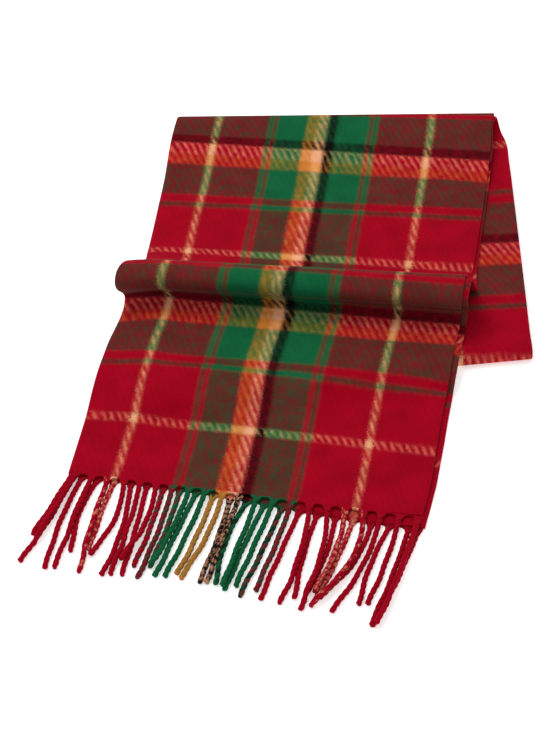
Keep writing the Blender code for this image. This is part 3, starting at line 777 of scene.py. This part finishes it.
def make_tartan_wool():
    material, tree, shader = new_material("brushed wool twill, tartan")
    weave_map = add_node(tree, "UVMap", uv_map="weave")
    place = add_node(tree, "TexCoord").outputs["Object"]
    nap = add_node(
        tree, "TexNoise", {"Vector": place, "Scale": scale_of(NAP_SIZE), "Detail": 3.0}
    )
    patches = add_node(
        tree, "TexNoise", {"Vector": place, "Scale": scale_of(PATCH_SIZE), "Detail": 1.0}
    )
    # The mottle is longer along the warp than across it.
    mottle_scale = (scale_of(MOTTLE_ACROSS), scale_of(MOTTLE_ALONG), 0.0)
    mottle_place = add_node(tree, "VectorMath", [weave_map, mottle_scale], operation="MULTIPLY")
    mottle = add_node(tree, "TexNoise", {"Vector": mottle_place, "Scale": 1.0, "Detail": 3.0})
    # The nap frays the edges of the stripes.
    centred = add_node(
        tree, "VectorMath", [nap.outputs["Color"], (0.5, 0.5, 0.5)], operation="SUBTRACT"
    )
    fuzz = add_node(
        tree, "VectorMath", [centred, (NAP_REACH, NAP_REACH, 0.0)], operation="MULTIPLY"
    )
    fuzzy = add_node(tree, "VectorMath", [weave_map, fuzz], operation="ADD")
    split = add_node(tree, "SeparateXYZ", [fuzzy]).outputs
    across = add_node(tree, "Math", [split["X"]], operation="ABSOLUTE")
    # The sett runs through twice and then back and forth, as the ruler goes on.
    once_over = add_node(tree, "Math", [split["Y"], REPEAT], operation="GREATER_THAN")
    onward = add_node(tree, "Math", [once_over, -REPEAT, split["Y"]], operation="MULTIPLY_ADD")
    beyond = add_node(tree, "Math", [split["Y"], REPEAT], operation="ADD")
    reversed_sett = add_node(tree, "Math", [beyond, REPEAT], operation="PINGPONG")
    turned = add_node(tree, "Math", [split["Y"], 2 * REPEAT], operation="GREATER_THAN")
    along = add_node(
        tree, "Mix", {"Factor": turned, "A": onward, "B": reversed_sett}, data_type="FLOAT"
    )
    yarns, lightness = [], []
    for stripes, span, ruler in ((WARP, WARP_SPAN, across), (WEFT, WEFT_SPAN, along)):
        share = add_node(tree, "MapRange", [ruler, *span])
        ramp = add_node(tree, "ValToRGB", [share])
        set_stripes(ramp.color_ramp, stripes, span)
        yarns.append(add_node(tree, "Gamma", [ramp, 1 / GAMMA]))
        lightness.append(add_node(tree, "RGBToBW", [yarns[-1]]))
    # The wales: a sine across the diagonal, shaken by the mottle.
    slant = [
        2 * math.pi * part / WALE_SPACING
        for part in (math.sin(WALE_ANGLE), math.cos(WALE_ANGLE), 0.0)
    ]
    diagonal = add_node(tree, "VectorMath", [weave_map, slant], operation="DOT_PRODUCT")
    shaken = add_node(tree, "Math", [mottle, WALE_SHAKE, diagonal], operation="MULTIPLY_ADD")
    wale = add_node(tree, "Math", [shaken], operation="SINE")
    # The nap blends yarns that are equally dark, and light ones stay clear on the wales.
    warp_lead = add_node(tree, "Math", lightness, operation="SUBTRACT")
    contrast = add_node(tree, "Math", [warp_lead], operation="ABSOLUTE")
    wale_strength = add_node(
        tree, "Math", [contrast, WALE_CONTRAST, -WALE_BLUR], operation="MULTIPLY_ADD"
    )
    # The warp lies uppermost, so a weft that is lighter than it is partly covered.
    covered = add_node(tree, "Math", [warp_lead, 0.0], operation="MINIMUM")
    # How much of the weft shows: about half, more on a wale, and uneven with the mottle.
    uneven = add_node(tree, "MapRange", [mottle, *NOISE_CORE, *WEFT_SHOWS])
    showing = add_node(tree, "Math", [covered, WEFT_COVERED, uneven], operation="MULTIPLY_ADD")
    weft_share = add_node(
        tree, "Math", [wale, wale_strength, showing], operation="MULTIPLY_ADD", use_clamp=True
    )
    # Brushed fibres mix darker than paint, so the mix is made on the gamma-coded colours.
    mixed = add_node(
        tree, "Mix", {"Factor": weft_share, "A": yarns[0], "B": yarns[1]}, data_type="RGBA"
    )
    # Between unlike fibres more of the blue light is lost, so their mix is a warmer brown.
    unlike = add_node(tree, "VectorMath", yarns, operation="DISTANCE")
    evenly_mixed = add_node(tree, "Math", [weft_share, 0.5], operation="PINGPONG")
    warming = add_node(tree, "Math", [unlike, evenly_mixed], operation="MULTIPLY")
    warmed = add_node(
        tree, "Mix", {"Factor": warming, "A": mixed, "B": MIX_WARMTH},
        data_type="RGBA", blend_type="MULTIPLY",
    )
    colour = add_node(tree, "Gamma", [warmed, GAMMA])
    # The nap and its patches vary that colour, and painted shade darkens the grooves between
    # the wales.
    nap_shade = add_node(tree, "MapRange", [nap, *NOISE_RANGE, *NAP_SHADES])
    patch_shade = add_node(tree, "MapRange", [patches, *NOISE_CORE, *PATCH_SHADES])
    painted_groove_shade = add_node(tree, "Math", [wale, WALE_GROOVE_PAINTED_SHADE, 1.0], operation="MULTIPLY_ADD")
    brushed = add_node(tree, "Math", [nap_shade, patch_shade], operation="MULTIPLY")
    shade = add_node(tree, "Math", [brushed, painted_groove_shade], operation="MULTIPLY")
    tinted = add_node(tree, "VectorMath", {0: colour, "Scale": shade}, operation="SCALE")
    relief = add_node(tree, "Math", [wale, WALE_RELIEF, nap], operation="MULTIPLY_ADD")
    bump = add_node(
        tree, "Bump", {"Strength": 0.5, "Distance": FIBRE_HEIGHT, "Height": relief}
    )
    set_inputs(shader, {
        "Base Color": tinted, "Normal": bump, "Sheen Weight": 0.06, **WOOL_SURFACE,
    })
    return material


tartan_wool = make_tartan_wool()
for cloth in (front_cloth, back_cloth, under_cloth, hidden_cloth):
    cloth.data.materials.clear()
    cloth.data.materials.append(tartan_wool)
print("material:", tartan_wool.name, "nodes:", len(tartan_wool.node_tree.nodes))

# %% [markdown]
# The fringe is made by taking a bunch of warp ends, twisting each half of it, and letting
# the two twist back round each other. So each cord is two plies in a helix, and each ply is
# a curve with a round bevel. Where a ply takes ends of two colours it is marled, with flecks
# of both along it. The table gives each cord's lean to the left of the warp in degrees, its
# length in centimetres, its bow to the left in millimetres and, unless both are red, the
# yarns of its two plies.

# %% Cords of the fringe
CORD_COUNT = 22
EDGE_GAP = 0.0020           # the fringe stops this short of the selvedge
PLY_RADIUS = 0.0021
PLY_OFFSET = 0.0006         # from the cord's middle to a ply's middle
CORD_RADIUS = 0.0026
LAID_HEIGHT = PLY_RADIUS + PLY_OFFSET + 0.0001
ROOT_SPREAD = 0.0026        # the plies are this far apart where they leave the hem
ROOT_CLOSES = 0.0110
ROOT_THINNESS = 0.60
TWIST_LENGTH = 0.0150       # one full turn of the two plies
POINT_STEP = 0.0011
WOBBLE = 0.0006             # a cord's small waves to the side, at its tip
WOBBLE_LENGTH = 0.043
CORD_PHASE = 1.7            # radians by which each cord's wobble and twist differ from the last
TWIST_START = 0.8           # and the most by which a cord's twist is turned, in radians
STIFFNESS = 9               # a cord bends over this many points at least
DROP_START, DROP_LENGTH = 0.006, 0.026      # where a cord comes down from its hem
SCALLOP_BASE = 0.0008       # the least that the cloth reaches past its last weft thread
SCALLOP_DEPTH = 0.0095      # and how much further it reaches at a cord
SCALLOP_POWER = 2.6         # how square the arches between the cords are
SCALLOP_STEP = 0.0007
SCALLOP_ROWS = 8
SCALLOP_TIP = 8             # an arch's tip comes down to the height of this point of a cord
LAST_WEFT = 0.5             # share of the last weft's red at the back of the hem
LAST_WEFT_FADE = 1.3        # which is gone at 1 / 1.3 of the way to the hem's edge
HEM_OVERLAP = 0.0020        # the hem starts this far inside the cloth
HEM_FULLNESS = 0.985        # its thickness, as a share of the cloth's
FLECK_PITCH = 0.0052        # one fleck and the ground up to the next
FLECK_WANDER = 0.55         # how unevenly they follow, in radians a point
FLECK_LAG = 3               # flecks end unevenly round the ply, by up to this many points
HEM_SHADE = 0.62            # where the lower hem shows, it lies in the upper one's shade

# Where each layer's second cord leaves the hem, the spacing there, what is added to it from
# each cord to the next, and the drift of the last one: the lower layer is a little askew.
Roots = namedtuple("Roots", "second spacing widening drift")
UPPER_ROOTS = Roots(0.0085, 0.0146, 0.000055, -0.0035)
LOWER_ROOTS = Roots(0.0135, 0.0146, 0.000055, 0.0010)

# A marled yarn is a ground with flecks: their share of it, and how clearly they stand out.
Mix = namedtuple("Mix", "ground fleck share clearness")
YARN_MIXES = {
    "brown": Mix("red", "green", 0.50, 0.35), "dark": Mix("green", "black", 0.45, 0.40),
    "marl": Mix("red", "cream", 0.24, 0.62), "maroon": Mix("red", "green", 0.30, 0.30),
    "straw": Mix("gold", "green", 0.22, 0.22), "pepper": Mix("black", "cream", 0.24, 0.65),
}
Cord = namedtuple("Cord", "lean length bow first second", defaults=("red", "red"))
UPPER_CORDS = (
    Cord(13, 8.4, 1), Cord(13, 11.6, 2),
    Cord(5, 11.6, 0), Cord(1, 11.7, -1, "marl", "red"),
    Cord(7, 9.6, 7), Cord(2, 11.5, 2),
    Cord(7, 10.0, 5), Cord(5, 11.5, 2, "brown", "maroon"),
    Cord(9, 10.2, 3, "green", "green"), Cord(9, 11.0, 1, "green", "green"),
    Cord(10, 11.0, 4, "straw", "straw"), Cord(6, 11.0, 0, "pepper", "pepper"),
    Cord(6, 11.5, 0, "green", "green"), Cord(9, 11.0, 0, "green", "green"),
    Cord(8, 11.2, 1, "maroon", "brown"), Cord(4, 12.2, 5),
    Cord(3, 12.6, 6), Cord(7, 10.8, 5, "marl", "marl"),
    Cord(14, 12.4, 13, "marl", "red"), Cord(13, 12.6, 6),
    Cord(8, 11.0, 2), Cord(9, 13.4, 2),
)
LOWER_CORDS = (
    Cord(10, 8.1, 1), Cord(4, 11.8, -3),
    Cord(3, 9.4, -5), Cord(3, 9.0, -1, "marl", "marl"),
    Cord(1, 11.7, 5), Cord(0, 11.4, 1),
    Cord(4, 10.2, 2, "maroon", "red"), Cord(5, 10.0, 2, "brown", "green"),
    Cord(9, 11.0, 0, "green", "green"), Cord(8, 10.3, 2, "straw", "straw"),
    Cord(5, 10.8, 2, "pepper", "pepper"), Cord(6, 10.6, -5, "dark", "green"),
    Cord(9, 11.1, -1, "green", "green"), Cord(10, 11.5, 1, "dark", "brown"),
    Cord(9, 11.4, 0), Cord(3, 10.5, -2),
    Cord(7, 9.7, 4), Cord(11, 10.3, 2, "marl", "marl"),
    Cord(19, 10.3, 8), Cord(9, 10.1, -3),
    Cord(9, 12.3, 2), Cord(12, 12.4, 2),
)


def for_mixing(yarn):
    """A yarn's colour, gamma-coded, because fibres mix darker than paint."""
    return np.power(linear(YARN_HEX[yarn]), 1 / GAMMA)


def yarn_colours(names, count, seed):
    """Colours at the points of a ply: one yarn, or flecks of the two that it mixes."""
    mix = YARN_MIXES.get(names, Mix(names, names, 0.0, 0.0))
    wander = np.cumsum(np.random.default_rng(seed).normal(0.0, FLECK_WANDER, count))
    turns = 2 * math.pi * np.arange(count) * POINT_STEP / FLECK_PITCH
    flecks = 0.5 + 0.5 * np.sin(turns + wander)
    ground, fleck = for_mixing(mix.ground), for_mixing(mix.fleck)
    share = mix.share * (1.0 - mix.clearness) + mix.clearness * (flecks < mix.share)
    return np.power(blend(ground, fleck, share[:, None]), GAMMA)


def hem_place(across, depth, slips):
    """Layout position in front of the hem, which the lower layer's slip moves forward."""
    share = across / FOLDED_WIDTH
    slip = slip_at(share) if slips else 0.0
    return plan(FRONT, across, blend(HEM_LEFT, HEM_RIGHT, share) - depth - slip)


def cord_roots(layer):
    """How far from the fold each cord leaves the hem."""
    order = np.arange(CORD_COUNT)
    after = order - 1
    across = layer.second + layer.spacing * after + layer.widening * after * np.abs(after)
    across = across + layer.drift * order / (CORD_COUNT - 1)
    first, last = PAIR / 2 + CORD_RADIUS, FOLDED_WIDTH - EDGE_GAP - CORD_RADIUS
    return np.clip(across, first, last)


def cord_plan(root, cord, index):
    """A cord's middle line on the table, its run and its sideways direction."""
    heading = FRONT.turn + math.radians(cord.lean)
    forward = np.array([-math.sin(heading), -math.cos(heading)])
    sideways = np.array([-forward[1], forward[0]])
    length = cord.length / 100
    reach = np.linspace(0.0, length, math.ceil(length / POINT_STEP))
    share = reach / length
    waves = np.sin(2 * math.pi * reach / WOBBLE_LENGTH + CORD_PHASE * index)
    sweep = cord.bow / 1000 * np.sin(math.pi * share) + WOBBLE * share * waves
    flat = np.array(root) + reach[:, None] * forward + sweep[:, None] * sideways
    return flat, reach, np.append(sideways, 0.0)


def laid_height(flat, reach, hem_height, below):
    """Heights of a cord: down from its hem to the table, and over the cords below it."""
    height = blend(hem_height, LAID_HEIGHT, smooth((reach - DROP_START) / DROP_LENGTH))
    for other in below:
        gap = np.linalg.norm(flat[:, None, :] - other[None, :, :2], axis=2)
        nearest = gap.argmin(axis=1)
        closest = np.minimum(gap.min(axis=1), 2 * CORD_RADIUS)
        over = other[nearest, 2] + np.sqrt((2 * CORD_RADIUS) ** 2 - closest**2)
        height = np.maximum(height, np.where(closest < 2 * CORD_RADIUS, over, 0.0))
    padded = np.pad(height, STIFFNESS // 2, mode="edge")
    return np.convolve(padded, np.ones(STIFFNESS) / STIFFNESS, mode="valid")


def ply_object(name, line, radii, colours):
    """One ply as a mesh tube, with its yarn's colours stored on its points."""
    curve = bpy.data.curves.new(name, "CURVE")
    curve.dimensions = "3D"
    curve.bevel_depth = PLY_RADIUS
    curve.bevel_resolution = 2
    curve.use_fill_caps = True
    spline = curve.splines.new("POLY")
    spline.points.add(len(line) - 1)
    spline.points.foreach_set("co", np.column_stack([line, np.ones(len(line))]).ravel())
    spline.points.foreach_set("radius", radii)
    ply = bpy.data.objects.new(name, curve)
    bpy.context.scene.collection.objects.link(ply)
    select_only(ply)
    bpy.ops.object.convert(target="MESH")
    ply = bpy.context.object
    places = np.empty(len(ply.data.vertices) * 3)
    ply.data.vertices.foreach_get("co", places)
    nearest = np.linalg.norm(places.reshape(-1, 1, 3) - line[None], axis=2).argmin(axis=1)
    lag = np.arange(len(nearest)) % FLECK_LAG
    store_yarn(ply, colours[np.minimum(nearest + lag, len(colours) - 1)])
    return ply


def store_yarn(piece, colours):
    """Keep a colour at each point of a mesh."""
    yarn = piece.data.attributes.new("yarn", "FLOAT_COLOR", "POINT")
    yarn.data.foreach_set("color", np.column_stack([colours, np.ones(len(colours))]).ravel())


def twisted_cord(name, line, reach, sideways, cord, index):
    """Two plies round one middle line, from inside the hem to a blunt cut end."""
    closing = smooth(reach / ROOT_CLOSES)
    twist = 2 * math.pi * np.maximum(reach - ROOT_CLOSES / 2, 0.0) / TWIST_LENGTH
    twist = twist + TWIST_START * math.sin(CORD_PHASE * index) * closing
    offset = blend(ROOT_SPREAD, PLY_OFFSET, closing)
    radii = blend(ROOT_THINNESS, 1.0, closing)
    plies = []
    for half, (side, names) in enumerate(((-1.0, cord.first), (1.0, cord.second))):
        turn = np.cos(twist)[:, None] * sideways + np.sin(twist)[:, None] * [0.0, 0.0, 1.0]
        ply_line = line + side * offset[:, None] * turn
        ply_line[:, 2] = np.maximum(ply_line[:, 2], PLY_RADIUS * radii + SETTLE)
        colours = yarn_colours(names, len(line), 2 * index + half)
        plies.append(ply_object(f"{name}_ply", to_frame(ply_line), radii, colours))
    return plies


# %% [markdown]
# Between two cords the hem ends in a small arch, because the warp ends draw together into
# each cord. That edge is a narrow grid whose front follows the arches, coloured like the
# warp, with the red of the last weft threads still in it at the back.

# %% The scalloped hem
def scalloped_hem(name, roots, lines, cords, hem_height, slips):
    """The warp ends in front of the last weft thread, drawn together towards each cord."""
    start, end = PAIR / 2, FOLDED_WIDTH - EDGE_GAP
    across = np.linspace(start, end, round((end - start) / SCALLOP_STEP))
    pitch = FOLDED_WIDTH / CORD_COUNT
    posts = np.concatenate([[roots[0] - pitch], roots, [roots[-1] + pitch]])
    gap = np.clip(np.searchsorted(posts, across) - 1, 0, len(posts) - 2)
    width = posts[gap + 1] - posts[gap]
    arch = np.abs(across - (posts[gap] + posts[gap + 1]) / 2) / (width / 2)
    depth = SCALLOP_BASE + SCALLOP_DEPTH * np.minimum(arch, 1.0) ** SCALLOP_POWER
    lean = np.interp(across, roots, [math.radians(cord.lean) for cord in cords])
    tip_height = np.interp(across, roots, [line[SCALLOP_TIP, 2] for line in lines])
    steps = np.linspace(0.0, 1.0, SCALLOP_ROWS)
    grid = np.zeros((len(steps), len(across), 3))
    for row, share in enumerate(steps):
        reach = blend(-HEM_OVERLAP, depth, share)
        shifted = across - np.tan(lean) * np.maximum(reach, 0.0)
        grid[row, :, 0], grid[row, :, 1] = hem_place(shifted, reach, slips)
        drop = np.clip(reach / (SCALLOP_DEPTH * 2), 0.0, 1.0)
        grid[row, :, 2] = blend(hem_height, tip_height, drop)
    hem = add_grid(name, grid)
    yarns = [next(s.yarn for s in WARP if place * 100 < s.ends_cm) for place in across]
    warp = np.array([for_mixing(yarn) for yarn in yarns])
    share = LAST_WEFT * (1.0 - smooth(steps * LAST_WEFT_FADE))[:, None, None]
    colours = np.power(blend(warp[None], for_mixing(WEFT[0].yarn), share), GAMMA)
    # Painted shade: where the lower hem shows past the upper one, its colour is darkened for
    # the upper layer's shade.
    if slips:
        shown = slip_at(across / FOLDED_WIDTH) / HEM_SLIP
        colours = colours * blend(1.0, HEM_SHADE, shown)[None, :, None]
    store_yarn(hem, colours.reshape(-1, 3))
    give_thickness(hem, LAYER * HEM_FULLNESS)
    soft_bevel(hem).angle_limit = math.radians(50)
    apply_modifiers(hem)
    return hem


def make_fringe(name, cords, hem_height, layer, slips, below):
    """One row of cords and its hem, joined into one piece."""
    roots = cord_roots(layer)
    plies, lines = [], []
    for index, (root, cord) in enumerate(zip(roots, cords)):
        flat, reach, sideways = cord_plan(hem_place(root, 0.0, slips), cord, index)
        line = np.column_stack([flat, laid_height(flat, reach, hem_height, below)])
        lines.append(line)
        plies += twisted_cord(name, line, reach, sideways, cord, index)
    fringe = scalloped_hem(name, roots, lines, cords, hem_height, slips)
    for piece in [fringe, *plies]:
        piece.data.materials.append(cord_wool)
    select_only(fringe, *plies)
    bpy.ops.object.join()
    smooth_faces(fringe)
    return fringe, lines


# %% [markdown]
# The cords are the same wool as the cloth, only spun and not brushed flat. Their material
# takes the yarn's colour from the points, varies it by a fine noise, and raises the noise as
# loose fibres. It has a little more sheen, because round cords turn away on both sides.

# %% Twisted wool yarn
LOOSE_FIBRE = 0.0009
FIBRE_SHADES = (0.80, 1.18)


def make_cord_wool():
    material, tree, shader = new_material("twisted two-ply wool yarn")
    place = add_node(tree, "TexCoord").outputs["Object"]
    yarn = add_node(tree, "Attribute", attribute_name="yarn")
    fibres = add_node(
        tree, "TexNoise", {"Vector": place, "Scale": scale_of(LOOSE_FIBRE), "Detail": 3.0}
    )
    shade = add_node(tree, "MapRange", [fibres, *NOISE_RANGE, *FIBRE_SHADES])
    tinted = add_node(tree, "VectorMath", {0: yarn, "Scale": shade}, operation="SCALE")
    bump = add_node(
        tree, "Bump", {"Strength": 0.6, "Distance": FIBRE_HEIGHT, "Height": fibres}
    )
    set_inputs(shader, {
        "Base Color": tinted, "Normal": bump, "Sheen Weight": 0.10, **WOOL_SURFACE,
    })
    return material


cord_wool = make_cord_wool()
lower_fringe, lower_lines = make_fringe(
    "scarf_lower_cords", LOWER_CORDS, LAYER / 2 + SETTLE, LOWER_ROOTS, True, []
)
upper_fringe, _ = make_fringe(
    "scarf_upper_cords", UPPER_CORDS, PAIR - LAYER / 2 + SETTLE, UPPER_ROOTS, False,
    lower_lines,
)

# %% [markdown]
# Every piece is tied to the frame. It rides on the one rigid body and stands for the plain
# solid that it replaces, which is hidden.

# %% Tie the pieces to the frame
for piece, node, slot in (
    (front_cloth, "scarf_front_stretch", "tartan_wool"),
    (back_cloth, "scarf_back_stretch", "tartan_wool"),
    (under_cloth, "scarf_under_stretch", "tartan_wool"),
    (hidden_cloth, "scarf_hidden_layers", "tartan_wool"),
    (upper_fringe, "scarf_upper_fringe", "fringe_yarn"),
    (lower_fringe, "scarf_lower_fringe", "fringe_yarn"),
):
    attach(piece, "root")
    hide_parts(node)

# %% [markdown]
# The set is as plain as a catalogue's: a matt white floor, an even white sky for soft fill,
# and one large lamp above and behind at the left. The lamp lights the top of the wave and
# leaves the soft dark crease in front of it.

# %% Floor and light
FLOOR_SIZE = 12.0
FLOOR_GLOW = 0.45           # the board is lit from below too, so that shadows stay faint
SKY_STRENGTH = 0.72
LAMP_PLACE = (-0.8, 0.8, 2.4)
LAMP_SIZE = 1.5
LAMP_WATTS = 28.5
WHITE = (1.0, 1.0, 1.0, 1.0)

select_only()
bpy.ops.mesh.primitive_plane_add(size=FLOOR_SIZE, location=(0.0, 0.0, 0.0))
floor = bpy.context.object
floor.name = "studio_floor"
floor_paint, _, floor_shader = new_material("matt white board")
set_inputs(floor_shader, {
    "Base Color": (*linear("F4F4F4"), 1.0), "Roughness": 0.9, "Specular IOR Level": 0.1,
    "Emission Color": WHITE, "Emission Strength": FLOOR_GLOW,
})
floor.data.materials.append(floor_paint)

world = bpy.data.worlds.new("even white sky")
bpy.context.scene.world = world
world.use_nodes = True
set_inputs(world.node_tree.nodes["Background"], {"Color": WHITE, "Strength": SKY_STRENGTH})

bpy.ops.object.light_add(type="AREA", location=LAMP_PLACE)
lamp = bpy.context.object
lamp.name = "large_soft_lamp"
lamp.data.shape = "DISK"
lamp.data.size = LAMP_SIZE
lamp.data.energy = LAMP_WATTS
# It is turned towards the middle of the scarf.
lamp.rotation_euler = (
    math.atan2(math.hypot(*LAMP_PLACE[:2]), LAMP_PLACE[2]), 0.0,
    math.atan2(-LAMP_PLACE[1], -LAMP_PLACE[0]) - math.pi / 2,
)
bpy.context.scene.view_settings.view_transform = "Standard"
bpy.context.scene.view_settings.look = "None"
print("lamp at", LAMP_PLACE, "with", LAMP_WATTS, "W")
